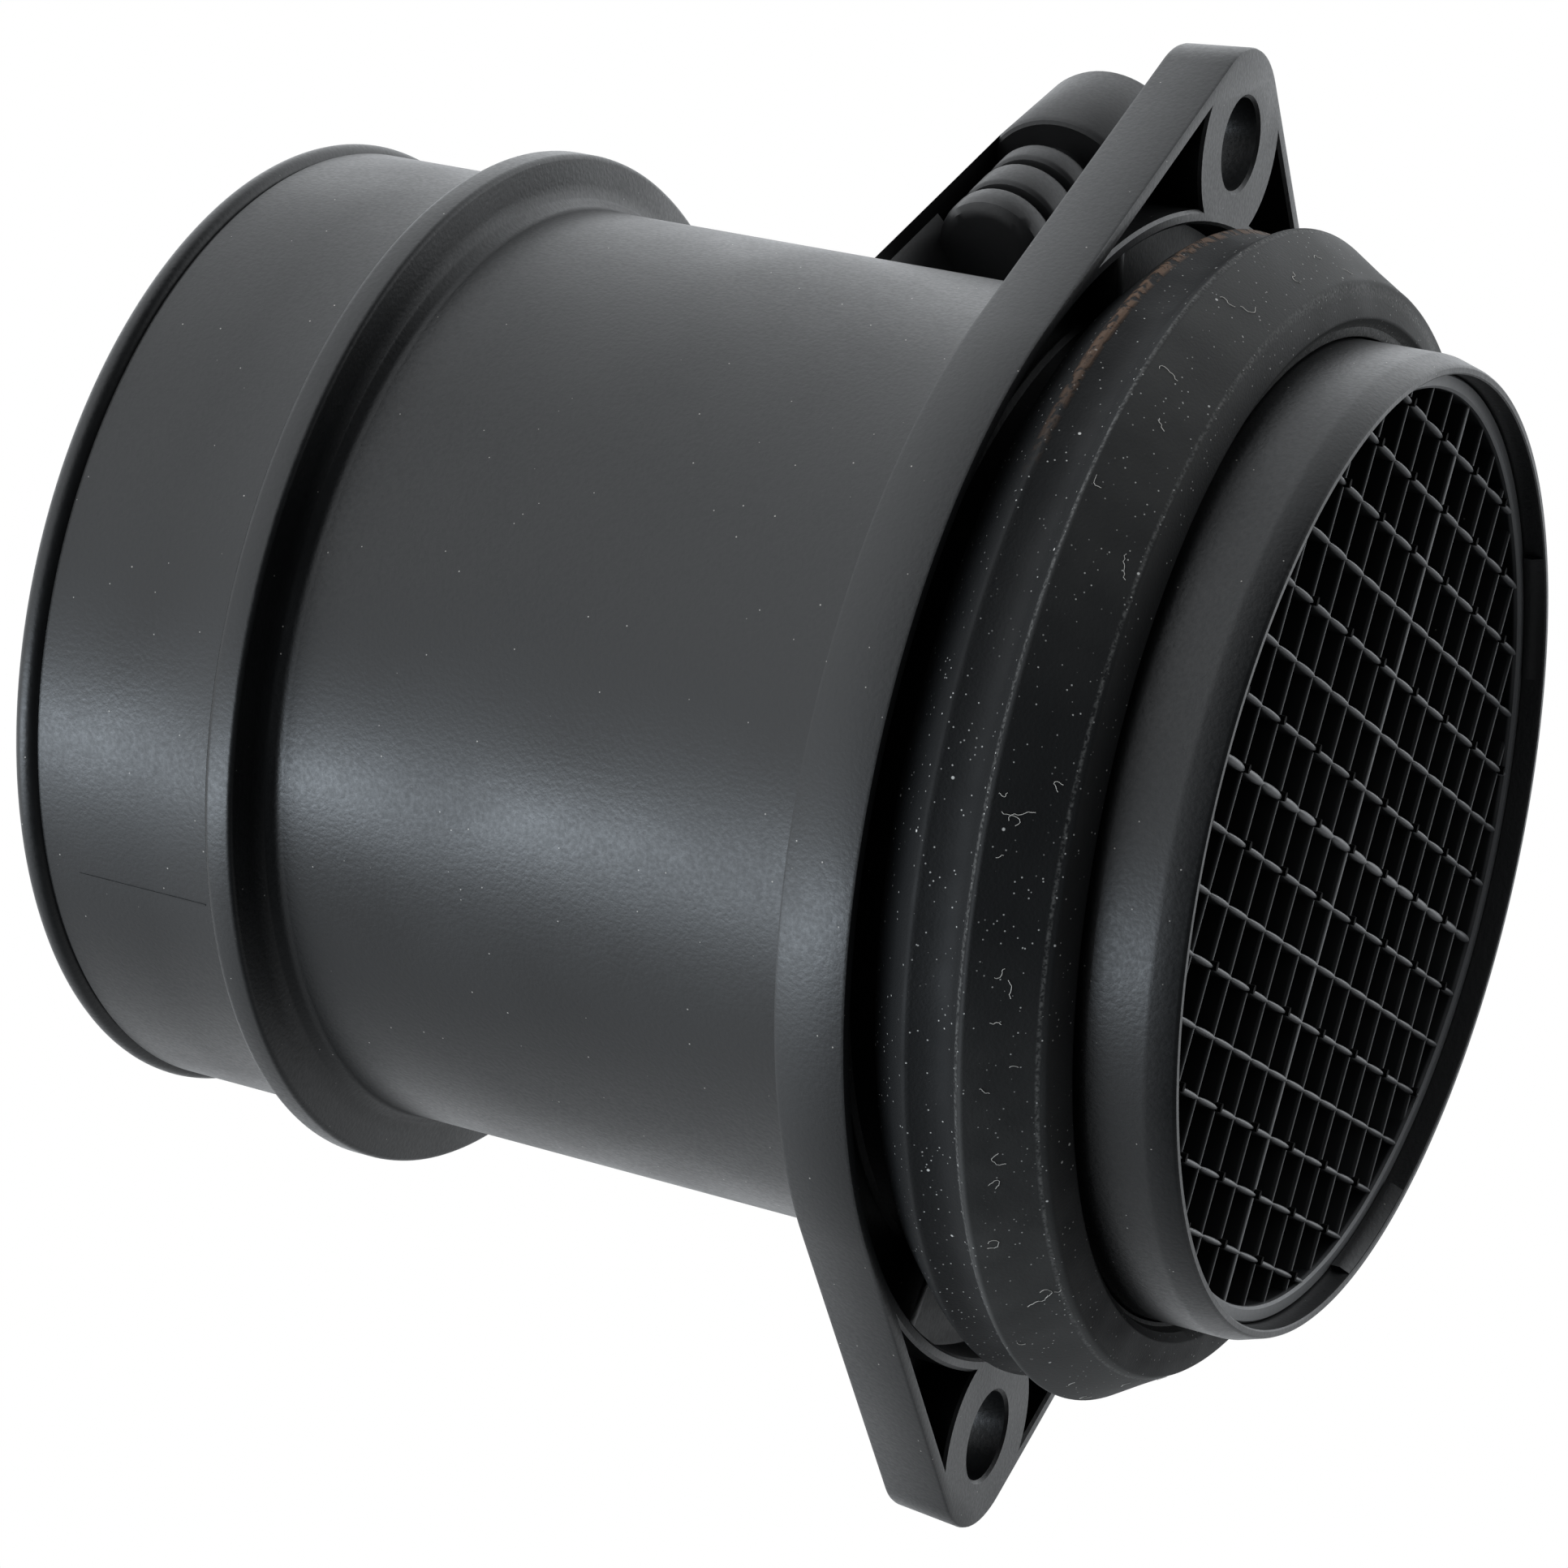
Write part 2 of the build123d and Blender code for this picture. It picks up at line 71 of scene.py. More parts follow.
# %% [markdown]
# ## Tools of the workshop
# Most of the object is turned about the duct's axis, so the first tool works like a lathe: a single
# point is pushed along an outline of (x, radius) sizes, and the line is spun round. Both ends of the
# line meet, so the wall is closed. A lathe could also be a Screw modifier, but the operators leave a
# plain mesh that the next cut can use.


# %% Lathe
def nothing_selected():
    if bpy.context.mode != "OBJECT":
        bpy.ops.object.mode_set(mode="OBJECT")
    bpy.ops.object.select_all(action="DESELECT")


def only(piece):
    nothing_selected()
    piece.select_set(True)
    bpy.context.view_layer.objects.active = piece


def named(name):
    """Name the object just added, and put its place in its mesh."""
    bpy.ops.object.transform_apply(location=True, rotation=True, scale=True)
    piece = bpy.context.object
    piece.name = name
    piece.data.name = name
    return piece


def turned(name, outline, steps=256):
    """Spin a closed outline of (x, radius) points, in mm, about the duct's axis."""
    nothing_selected()
    x, r = outline[0]
    bpy.ops.mesh.primitive_plane_add(size=0.1 * MM, location=(x * MM, 0, r * MM))
    piece = named(name)
    bpy.ops.object.mode_set(mode="EDIT")
    bpy.ops.mesh.select_all(action="SELECT")
    bpy.ops.mesh.merge(type="CENTER")
    for new_x, new_r in outline[1:] + outline[:1]:
        move = ((new_x - x) * MM, 0, (new_r - r) * MM)
        bpy.ops.mesh.extrude_region_move(TRANSFORM_OT_translate={"value": move})
        x, r = new_x, new_r
    bpy.ops.mesh.select_all(action="SELECT")
    bpy.ops.mesh.remove_doubles(threshold=0.002 * MM)
    bpy.ops.mesh.spin(steps=steps, angle=2 * pi, center=(0, 0, 0), axis=(1, 0, 0))
    bpy.ops.mesh.select_all(action="SELECT")
    bpy.ops.mesh.remove_doubles(threshold=0.002 * MM)
    bpy.ops.mesh.normals_make_consistent(inside=False)
    bpy.ops.object.mode_set(mode="OBJECT")
    return piece


def arc(x, r, radius, start, end, count):
    """Points of a round in an outline, from one angle to the other, in degrees."""
    turns = [radians(start + (end - start) * i / count) for i in range(count + 1)]
    return [(x + radius * cos(t), r + radius * sin(t)) for t in turns]


# %% [markdown]
# The second tool wraps a skin over circles. A racetrack is a skin over two circles, a plate with round
# corners over four, and an ear with tangent sides over two of unlike size. Circles that are a little
# smaller at the end give a moulded edge its small round. Cuts are made with a tool piece, as a mould
# would.


# %% Skin over circles, blocks and cuts
def joined(name, pieces):
    nothing_selected()
    for piece in pieces:
        piece.select_set(True)
    bpy.context.view_layer.objects.active = pieces[0]
    if len(pieces) > 1:
        bpy.ops.object.join()
    pieces[0].name = name
    pieces[0].data.name = name
    return pieces[0]


def skin_over(name, rings, facing="X"):
    """Convex skin over circles that face along X or Z, each (x, y, z, radius), in mm."""
    circles = []
    turn = (0, pi / 2, 0) if facing == "X" else (0, 0, 0)
    for x, y, z, radius in rings:
        nothing_selected()
        corners = 4 * round(6 + 1.5 * radius)
        place = (x * MM, y * MM, z * MM)
        bpy.ops.mesh.primitive_circle_add(
            vertices=corners, radius=radius * MM, location=place, rotation=turn
        )
        circles.append(named("ring"))
    piece = joined(name, circles)
    bpy.ops.object.mode_set(mode="EDIT")
    bpy.ops.mesh.select_all(action="SELECT")
    bpy.ops.mesh.delete(type="EDGE_FACE")
    bpy.ops.mesh.select_all(action="SELECT")
    bpy.ops.mesh.convex_hull()
    bpy.ops.mesh.select_all(action="SELECT")
    bpy.ops.mesh.dissolve_limited(angle_limit=radians(0.3))
    bpy.ops.mesh.normals_make_consistent(inside=False)
    bpy.ops.object.mode_set(mode="OBJECT")
    return piece


def block(name, x, y, z):
    """Box from (low, high) pairs, in mm."""
    nothing_selected()
    middle = [(pair[0] + pair[1]) / 2 * MM for pair in (x, y, z)]
    size = [(pair[1] - pair[0]) * MM for pair in (x, y, z)]
    bpy.ops.mesh.primitive_cube_add(size=1, location=middle, scale=size)
    return named(name)


def cut(piece, *tools, how="DIFFERENCE"):
    """Cut with tool pieces, or keep what they share, and take the tools away."""
    for tool in tools:
        only(piece)
        change = piece.modifiers.new("cut", "BOOLEAN")
        change.operation = how
        change.solver = "EXACT"
        change.object = tool
        bpy.ops.object.modifier_apply(modifier=change.name)
        bpy.data.objects.remove(tool)
    return piece


def smooth(piece, angle=30):
    only(piece)
    bpy.ops.object.shade_smooth_by_angle(angle=radians(angle))
    return piece


def rounded(piece, width):
    """Round the sharp edges by a width in mm, then shade smooth."""
    only(piece)
    edges = piece.modifiers.new("edges", "BEVEL")
    edges.width = width * MM
    edges.segments = 2
    edges.limit_method = "ANGLE"
    edges.angle_limit = radians(30)
    bpy.ops.object.modifier_apply(modifier=edges.name)
    return smooth(piece)


def turned_copy(piece, angle, name):
    """Copy with its own mesh, turned about the duct's axis by degrees."""
    only(piece)
    bpy.ops.object.duplicate()
    copy = bpy.context.object
    copy.name = name
    copy.data.transform(Matrix.Rotation(radians(angle), 4, "X"))
    return copy


def on_part(piece, slot, *nodes):
    """Ride on the body and stand for the nodes. The slot is not used."""
    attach(piece, "root")
    if nodes:
        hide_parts(*nodes)
    size = [round(value / MM, 1) for value in piece.dimensions]
    print(piece.name, "faces", len(piece.data.polygons), "size mm", size)


# %% [markdown]
# ## The duct
# The tube is one black moulding: a rounded lip and a land for the hose at the outlet, a stop ring, the
# plain body, and the thin spigot with a tapered rim at the inlet. It could be a stack of cylinders, but
# the small rounds and the slope beside the stop ring catch the light in the photograph, so the whole
# wall is one turned outline, walked from the inside of the outlet, over the outside and back through
# the bore.

# %% Sizes of the duct, in mm
bore_r, body_r, land_r, spigot_r = 36.3, 38.6, 40.0, 39.0
outlet_x, ring_x, rim_x = -77.2, -57.6, 22.3
grid_back_x, grid_x, grid_seat_r = 12.5, 20.5, 37.65
flange_back_x, flange_floor_x = -6.0, -4.0

outlet_lip = [(-76.9, 37.3), (-77.12, 37.5), (outlet_x, 37.9)] + arc(-76.2, 39.6, 1.0, 180, 24, 12)
land = [(-75.2, 39.8), (-75.0, 39.8), (-74.9, land_r), (-66.0, land_r), (-58.0, land_r), (-57.7, 40.1)]
stop_ring = [(ring_x, 40.4)] + arc(-57.05, 42.35, 0.55, 180, 90, 4) + arc(-55.5, 42.4, 0.5, 90, 8, 4)
ring_slope = [(-54.7, 40.6), (-54.35, 39.45), (-54.2, 39.25)]
ring_slope += [(-54.1, 39.2), (-53.8, 38.85), (-53.4, 38.66)]
body = [(-53.0, body_r), (-30.0, body_r), (-6.9, body_r)]
body += [(-6.4, 38.75), (-6.1, 39.2), (-5.0, 39.6)]
spigot = [(-4.1, 39.6), (-3.95, 39.25), (-3.5, spigot_r), (10.0, spigot_r), (19.9, spigot_r), (20.3, 38.96)]
rim = [(22.0, 38.42), (22.2, 38.32), (rim_x, 38.2), (rim_x, 37.8), (22.2, 37.68), (22.0, grid_seat_r)]
bore = [(grid_back_x, grid_seat_r), (grid_back_x, bore_r), (-20.0, bore_r), (-53.0, bore_r)]
bore += [(-56.0, 36.9), (-57.6, 37.3)]
wall = outlet_lip + land + stop_ring + ring_slope + body + spigot + rim + bore

# %% Turn the duct
duct = turned("duct", wall)
print("outline points", len(wall), "duct faces", len(duct.data.polygons))

# %% [markdown]
# The mould's two halves met along the duct, a third of the way down its near side, and left a hair-fine
# ridge on the land. It is a sliver of a block, sunk so that only its back shows.

# %% Parting line
line_angle = 32.3
line = block("land_line", (-72.0, -60.0), (-0.07, 0.07), (land_r - 0.3, land_r + 0.04))
parting = turned_copy(line, 90 + line_angle, "parting_line")
bpy.data.objects.remove(line)

# %% [markdown]
# ## The module's frame
# The sensor module enters through an opening in a pad on the far side. Its own frame has z out of the
# tube along the tower, and y away from the socket. Its pieces are drawn there and then turned into
# place, because the sizes then stay round numbers. Each shape below gives its circles at a height, set
# in by a little from the outside.

# %% Shapes in the module's frame
module_x, module_angle = -25.7, radians(32.3)
module_turn = Matrix.Translation((module_x * MM, 0, 0)) @ Matrix.Rotation(module_angle - pi / 2, 4, "X")


def to_module(piece):
    """Turn a piece from the module's frame into its place."""
    piece.data.transform(module_turn)
    return piece


def slot_along_duct(length, width):
    """Racetrack along the duct: its circles at a height and an inset."""
    shift = (length - width) / 2
    return lambda z, inset: [(side * shift, 0, z, width / 2 - inset) for side in (-1, 1)]


def slot_across_duct(reach, half_w, middle):
    """Racetrack across the duct, on the socket's side."""
    shift = reach - half_w
    return lambda z, inset: [(0, side * shift - middle, z, half_w - inset) for side in (-1, 1)]


def plate_with_corners(length, width, corner):
    """Rectangle with round corners."""
    x, y = length / 2 - corner, width / 2 - corner
    return lambda z, inset: [(i * x, j * y, z, corner - inset) for i in (-1, 1) for j in (-1, 1)]


def edges(low, high, low_round, high_round):
    """Heights and insets that round the lower and the upper edge of a moulded piece."""
    turns = [radians(30 * step) for step in range(4)]
    lower = [(low + low_round * (1 - cos(t)), low_round * (1 - sin(t))) for t in turns]
    upper = [(high - high_round * (1 - cos(t)), high_round * (1 - sin(t))) for t in reversed(turns)]
    return lower + upper


def moulded(name, shape, heights):
    """Skin over a shape at its heights."""
    return skin_over(name, [ring for z, inset in heights for ring in shape(z, inset)], facing="Z")


# %% Pad and opening
pad_foot, pad_top = 36.6, 43.5
pad = moulded("module_pad", plate_with_corners(40, 24, 6), edges(pad_foot, pad_top, 0.05, 0.6))
opening_shape = slot_along_duct(22.0, 12.0)
through_wall = to_module(moulded("opening", opening_shape, [(20.0, 0), (50.0, 0)]))
duct = smooth(cut(duct, through_wall), 28)
pad = cut(pad, moulded("opening", opening_shape, [(20.0, 0), (50.0, 0)]))
pad = smooth(to_module(pad))
print("duct faces", len(duct.data.polygons), "pad faces", len(pad.data.polygons))

# %% [markdown]
# ## The cored flange
# The flange is a plate with two ears whose sides are tangents to the big circle. From the front it is
# cored, to keep the walls thin: a deep groove runs round the spigot, each ear has two three-cornered
# pockets beside its bolt boss, and short ribs tie the rim to the spigot. A flat plate with holes would
# lose all the thin bright edges that the photograph shows. So the plate is a skin over circles, open in
# the middle where the duct passes. The pockets and holes are cut twice: once straight, and once with a
# shallow tool that flares, which leaves a small slope on each edge.

# %% Plate with two ears
ear_z, ear_r, flange_r, hole_r, boss_r = 52.3, 7.58, 46.8, 3.7, 8.0


def ear_rings(x, inset):
    rings = [(x, 0, 0, flange_r - inset)]
    return rings + [(x, 0, side * ear_z, ear_r - inset) for side in (-1, 1)]


plate_rings = ear_rings(flange_back_x, 0.75) + ear_rings(-5.9, 0.5) + ear_rings(-5.65, 0.4)
plate_rings += ear_rings(-0.3, 0.0) + ear_rings(-0.08, 0.08) + ear_rings(0.0, 0.3)
plate = skin_over("flange", plate_rings)
in_wall_r = (bore_r + body_r) / 2
plate = cut(plate, skin_over("middle", [(-8, 0, 0, in_wall_r), (1, 0, 0, in_wall_r)]))

# %% Groove, pockets and holes
rim_wall, ear_wall, flare_depth = 1.1, 1.3, 0.25
groove_r = flange_r - rim_wall
groove_side = [(flange_floor_x, 45.1), (-3.8, 45.5), (-3.4, groove_r), (-flare_depth, groove_r)]
groove = [(flange_floor_x, 37.8)] + groove_side + [(flare_depth, 46.2), (flare_depth, 37.8)]
plate = cut(plate, turned("groove", groove))


def pockets(low_x, high_x, flare):
    """Tool for the four pockets, which opens by the flare at its front."""
    tool = skin_over("pockets", ear_rings(low_x, ear_wall) + ear_rings(high_x, ear_wall - flare))
    slope = flare / (high_x - low_x)
    for z, radius in ((0, flange_r), (ear_z, boss_r), (-ear_z, boss_r)):
        ends = [(low_x - 1, 0, z, radius + slope), (high_x + 1, 0, z, radius - flare - slope)]
        tool = cut(tool, skin_over("keep", ends))
    return tool


plate = cut(plate, pockets(flange_floor_x, 1.0, 0.0), pockets(-flare_depth, flare_depth, 0.5))
for side in (-1, 1):
    z = side * ear_z
    plate = cut(plate, skin_over("hole", [(-8, 0, z, hole_r), (1, 0, z, hole_r)]))
    flare = [(-flare_depth, 0, z, hole_r), (flare_depth, 0, z, hole_r + 0.5)]
    plate = cut(plate, skin_over("flare", flare))
plate = smooth(plate, 28)
print("flange faces", len(plate.data.polygons))

# %% [markdown]
# The ribs are short radial walls in the groove, at equal angles each side of both ears. They stand
# lower than the rim, because the seal needs the room. One is made upright, rounded and copied, each
# copy turned about the axis with its own mesh. Four small wedges stand inside the spigot's rim, and the
# grid snaps in behind them. They are one turned ring, of which two crossed blocks keep four short
# stretches.

# %% Ribs and snap lugs
rib_angle, rib_t, lug_angle, lug_w = 21.0, 1.4, 32.3, 11.7
rib = rounded(block("rib", (-4.6, -1.6), (-rib_t / 2, rib_t / 2), (38.7, 46.0)), 0.25)
rib_turns = (rib_angle, -rib_angle, 180 + rib_angle, 180 - rib_angle)
ribs = [turned_copy(rib, angle, "rib_copy") for angle in rib_turns]
bpy.data.objects.remove(rib)

lug_outline = [(20.6, 37.8), (20.6, 37.2), (21.35, 37.2), (22.15, 37.62), (22.15, 37.8)]
lugs = []
for turn in (lug_angle, lug_angle + 90):
    stretch = block("stretch", (15, 25), (-45, 45), (-lug_w / 2, lug_w / 2))
    stretch.data.transform(Matrix.Rotation(radians(turn), 4, "X"))
    lugs.append(smooth(cut(turned("lugs", lug_outline), stretch, how="INTERSECT")))
housing = joined("duct_moulding", [duct, pad, plate] + ribs + lugs + [parting])
on_part(housing, "housing_plastic", "tube_housing")

# %% [markdown]
# ## The rubber seal
# The seal is a soft ring with two lips: a thin heel next to the flange, a valley, and a tall front lip
# whose long slope leads the filter box on. It sits a little askew on the spigot, as the photograph
# shows. It is turned like the duct, and then only its outer rings are tilted, so that its bore still
# fits the spigot.

# %% Seal
seal_bore_r, seal_mid_x = 39.2, 7.3
heel = [(-0.2, seal_bore_r), (-0.2, 42.3), (0.0, 42.6), (2.6, 45.1)]
heel += [(3.5, 45.75), (3.75, 45.88), (3.95, 45.88)]
valley = [(4.2, 45.77), (5.2, 45.42), (6.0, 45.3), (6.7, 45.35), (7.5, 45.7), (8.2, 46.42)]
lip = arc(8.68, 46.32, 0.36, 150, 55, 5)
slope = [(11.2, 45.15), (13.6, 43.72)] + arc(13.6, 43.1, 0.55, 60, 10, 3) + [(14.45, 42.0)]
front = arc(14.45, 40.75, 0.3, 20, -60, 4) + [(14.2, 39.9), (13.9, 39.5), (13.8, seal_bore_r)]
seal = turned("lip_seal", heel + valley + lip + slope + front)
seal_middle = Matrix.Translation((seal_mid_x * MM, 0, 0))
askew = Matrix.Rotation(radians(-0.5), 4, "Y") @ Matrix.Rotation(radians(0.5), 4, "Z")
askew = seal_middle @ askew @ seal_middle.inverted()
for point in seal.data.vertices:
    if hypot(point.co.y, point.co.z) > 39.7 * MM:
        point.co = askew @ point.co
smooth(seal, 28)
on_part(seal, "seal_rubber", "inlet_seal")

# %% [markdown]
# Short curled fibres of lint lie on the seal's slope. They could be drawn in the finish, but a real
# thread keeps its shape close up. A fibre wanders over the slope by small seeded turns of its heading,
# and each has its own length.

# %% Lint
random.seed(11)
slope_x, slope_r, slope_fall, thread_r = 8.9, 46.61, 0.615, 0.022
lowest_x, highest_x, fibre_count = 9.1, 13.4, 30


def fibre(x, angle, length, steps=10):
    """Thin closed tube that wanders over the seal's slope, from a place in mm and radians."""
    heading = random.uniform(0, 2 * pi)
    thread = bpy.data.curves.new("fibre", "CURVE")
    thread.dimensions = "3D"
    thread.bevel_depth = thread_r * MM
    thread.bevel_resolution = 0
    thread.use_fill_caps = True
    line = thread.splines.new("POLY")
    line.points.add(steps - 1)
    for point in line.points:
        r = slope_r - (x - slope_x) * slope_fall + 1.2 * thread_r
        point.co = (*(askew @ Vector((x * MM, r * MM * cos(angle), r * MM * sin(angle)))), 1)
        heading += random.uniform(-1.0, 1.0)
        x = min(max(x + cos(heading) * length / steps, lowest_x), highest_x)
        angle += sin(heading) * length / steps / r
    piece = bpy.data.objects.new("fibre", thread)
    bpy.context.scene.collection.objects.link(piece)
    only(piece)
    bpy.ops.object.convert(target="MESH")
    return bpy.context.object


fibres = []
for _ in range(fibre_count):
    turn = random.uniform(radians(95), radians(280))
    fibres.append(fibre(random.uniform(9.4, 13.2), turn, random.uniform(0.6, 2.4)))
lint = smooth(joined("lint", fibres))
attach(lint, "root")
print("lint fibres", len(fibres), "faces", len(lint.data.polygons))

# %% [markdown]
# ## The inlet grid
# The grid straightens the air. It is one moulding: a ring, fifteen thin upright blades and fifteen
# cross bars. The bars are what the photograph shows most: between two blades each bar ends in a slim
# lens, and the lenses meet in a notch at every crossing. A plain bar would look like wire. One lens is
# modelled, and each cell gets a copy, stretched to its length. The blades have a round nose, which is a
# rod along the front. Stubs, where the moulding was pushed out of its tool, stand at some crossings;
# their near-black colour is painted shade.

# %% Grid ring and blades
row_pitch, row_extra, column_pitch, column_extra = 4.595, 0.23, 4.63, 0.12
side_count, grid_turn, mesh_r = 7, radians(-12.5), 36.6
column_x, column_depth, column_w, middle_w = 16.1, 7.2, 0.42, 0.75
row_x, row_depth, row_t = 16.2, 7.4, 0.34
nose_x, nose_half = 19.7, 0.35


def line_places(pitch, extra):
    """Places of the parallel lines, the two next to the middle one set out a little."""
    return [i * pitch + ((i > 0) - (i < 0)) * extra for i in range(-side_count, side_count + 1)]


def stretched(pattern, name, place, sizes, turn=0.0):
    """Copy of a unit piece with its own mesh, at a place and to a size in mm."""
    copy = bpy.data.objects.new(name, pattern.data.copy())
    bpy.context.scene.collection.objects.link(copy)
    size = Matrix.Diagonal([value * MM for value in sizes] + [1])
    copy.data.transform(Matrix.Translation(Vector(place) * MM) @ Matrix.Rotation(turn, 4, "X") @ size)
    return copy


rows, columns = line_places(row_pitch, row_extra), line_places(column_pitch, column_extra)
ring = [(grid_back_x, bore_r), (grid_back_x, 37.55), (20.35, 37.55)]
ring += [(grid_x, 37.4), (grid_x, 36.5), (20.3, bore_r)]
grid_pieces = [smooth(turned("grid_ring", ring))]
nothing_selected()
bpy.ops.mesh.primitive_cube_add(size=1)
blade = named("blade")
nothing_selected()
bpy.ops.mesh.primitive_cylinder_add(vertices=16, radius=1, depth=1)
rod = smooth(named("rod"), 40)
for y in columns:
    chord = 2 * sqrt(mesh_r**2 - y**2)
    width = middle_w if y == 0 else column_w
    grid_pieces.append(stretched(blade, "column", (column_x, y, 0), (column_depth, width, chord)))
    grid_pieces.append(stretched(rod, "nose", (nose_x, y, 0), (nose_half, width / 2, chord)))
for z in rows:
    chord = 2 * sqrt(mesh_r**2 - z**2)
    grid_pieces.append(stretched(blade, "row", (row_x, 0, z), (row_depth, row_t, chord), pi / 2))
bpy.data.objects.remove(blade)
bpy.data.objects.remove(rod)

# %% Lenses and stubs
lens_x, lens_half, lens_share, lens_tall, middle_tall = 19.95, 0.5, 0.575, 0.235, 0.36
stub_x, stub_up, stub_size, clear_of_ring = 19.55, 0.12, (1.9, 0.22, 0.36), 0.6
nothing_selected()
bpy.ops.mesh.primitive_uv_sphere_add(segments=12, ring_count=8, radius=1)
lens = smooth(named("lens"), 60)
nothing_selected()
bpy.ops.mesh.primitive_cylinder_add(vertices=12, radius=1, depth=1, rotation=(0, pi / 2, 0))
stub = smooth(named("stub"), 40)
stubs = []
for i, z in enumerate(rows, -side_count):
    half = sqrt(mesh_r**2 - z**2)
    crossings = [y for y in columns if abs(y) < half - clear_of_ring]
    ends = [-half] + crossings + [half]
    tall = lens_tall if i else middle_tall
    for left, right in zip(ends, ends[1:]):
        place, size = (lens_x, (left + right) / 2, z), (lens_half, (right - left) * lens_share, tall)
        grid_pieces.append(stretched(lens, "cell_lens", place, size))
    for j, y in enumerate(columns, -side_count):
        marked = j % 2 == 1 if i % 2 else j % 2 == 0 and i in (-6, 0, 6)
        if marked and abs(y) < half - clear_of_ring:
            stubs.append(stretched(stub, "stub_copy", (stub_x, y, z + stub_up), stub_size))
bpy.data.objects.remove(lens)
bpy.data.objects.remove(stub)
print("rows", len(rows), "blades, noses and lenses", len(grid_pieces), "stubs", len(stubs))
gate_marks = joined("grid_stubs", stubs)
grid = joined("grid_moulding", grid_pieces)
for piece in (gate_marks, grid):
    piece.data.transform(Matrix.Rotation(grid_turn, 4, "X"))
on_part(grid, "grid_plastic", "inlet_grid")
on_part(gate_marks, "grid_plastic")

# %% [markdown]
# ## The sensor module
# The module is a second moulding, pushed through the opening and held by two screws. Its plate and plug
# close the opening, its tower reaches to the middle of the duct, and outside it carries the socket on a
# ribbed neck. A shield goes on from the shroud's wall down to the tube. All of its forms are skins over
# racetracks and plates.

# %% Plate, plug and tower
head_top, plug_end, tower_tip = 47.5, 37.6, -8.0
screw_x, screw_hole_r, ring_low, ring_high = 14.5, 2.2, 39.65, 41.55
head = moulded("head", plate_with_corners(36, 22, 5), edges(pad_top, head_top, 0.1, 0.5))
for side in (-1, 1):
    screw_hole = [(side * screw_x, 0, 40, screw_hole_r), (side * screw_x, 0, 50, screw_hole_r)]
    head = cut(head, skin_over("screw_hole", screw_hole, facing="Z"))
plug_shape = slot_along_duct(21.4, 11.4)
plug = [moulded("plug", plug_shape, [(plug_end, 0.3), (plug_end + 0.3, 0), (ring_low, 0)])]
plug.append(moulded("plug_core", plug_shape, [(ring_low - 0.5, 1.2), (ring_high + 0.5, 1.2)]))
plug.append(moulded("plug_top", plug_shape, [(ring_high, 0), (pad_top + 0.2, 0)]))
tower = moulded("tower", plate_with_corners(20, 9, 2), edges(tower_tip, plug_end + 0.2, 0.5, 0.05))

# %% [markdown]
# The tower is cored for the electronics, for the bypass channel in its tip, and for the temperature
# bead, and its face has a seat for each lid. Only the seats, the two ports and the bead's nook show,
# but the rest is cut too, because the lids and the board lie in it.

# %% Cuts in the tower
lid_t, lid_seat, port_low, port_high = 1.2, -3.3, -5.5, -0.5
cavity = block("cavity", (-7.5, 7.5), (-6, 1.7), (14.5, 36.0))
lid_seats = [block("upper_seat", (-8.1, 8.1), (-6, lid_seat), (13.3, 37.2))]
lid_seats.append(block("lower_seat", (-9.4, 9.4), (-6, lid_seat), (-6.7, 9.4)))
ports = block("ports", (-12, 12), (lid_seat, 1.7), (port_low, port_high))
nook = block("nook", (-2.5, 2.5), (2.5, 6), (20.0, 30.0))
nothing_selected()
bpy.ops.mesh.primitive_cylinder_add(
    vertices=64,
    radius=7.2 * MM,
    depth=5 * MM,
    location=(0, -0.8 * MM, port_high * MM),
    rotation=(pi / 2, 0, 0),
)
bend = cut(named("bend"), block("under", (-9, 9), (-6, 6), (-9, port_high - 0.1)))
nothing_selected()
bpy.ops.mesh.primitive_cylinder_add(
    vertices=48,
    radius=2.2 * MM,
    depth=9 * MM,
    location=(0, 0, port_high * MM),
    rotation=(pi / 2, 0, 0),
)
core = cut(named("core"), block("below_core", (-3, 3), (-6, 6), (-5, port_low)))
bend = cut(bend, core)
tower = smooth(cut(tower, cavity, *lid_seats, nook, bend, ports))
print("tower faces", len(tower.data.polygons))

# %% Ribbed neck
neck_reach, neck_half_w, neck_middle = 8.2, 4.9, 23.7
neck_ribs = ((33.6, 36.9), (37.9, 41.7), (42.7, 45.5))
shroud_low, shroud_high, socket_floor = 48.0, 59.1, 49.6
neck_shape = slot_across_duct(neck_reach, neck_half_w, neck_middle)
neck = [moulded("neck_waist", neck_shape, [(45.0, 1.6), (socket_floor, 1.6)])]
neck.append(moulded("neck_core", neck_shape, [(34.5, 0.9), (45.2, 0.9)]))
for number, (low, high) in enumerate(neck_ribs):
    low_round = 0.55 if number else 1.3
    neck.append(moulded("neck_rib", neck_shape, edges(low, high, low_round, 0.55)))
neck.append(block("bridge", (-5.5, 5.5), (-20, -8), (pad_top + 0.1, socket_floor)))

# %% [markdown]
# The shroud is drafted, a little wider at its foot, and hollow down to its floor. The shield has the
# same outline as the shroud's foot: it is a thin racetrack wall of which a block keeps the side next to
# the outlet. A sloping fill ties it to the neck. Both stop short of the tube, so a tool as round as the
# tube trims them.

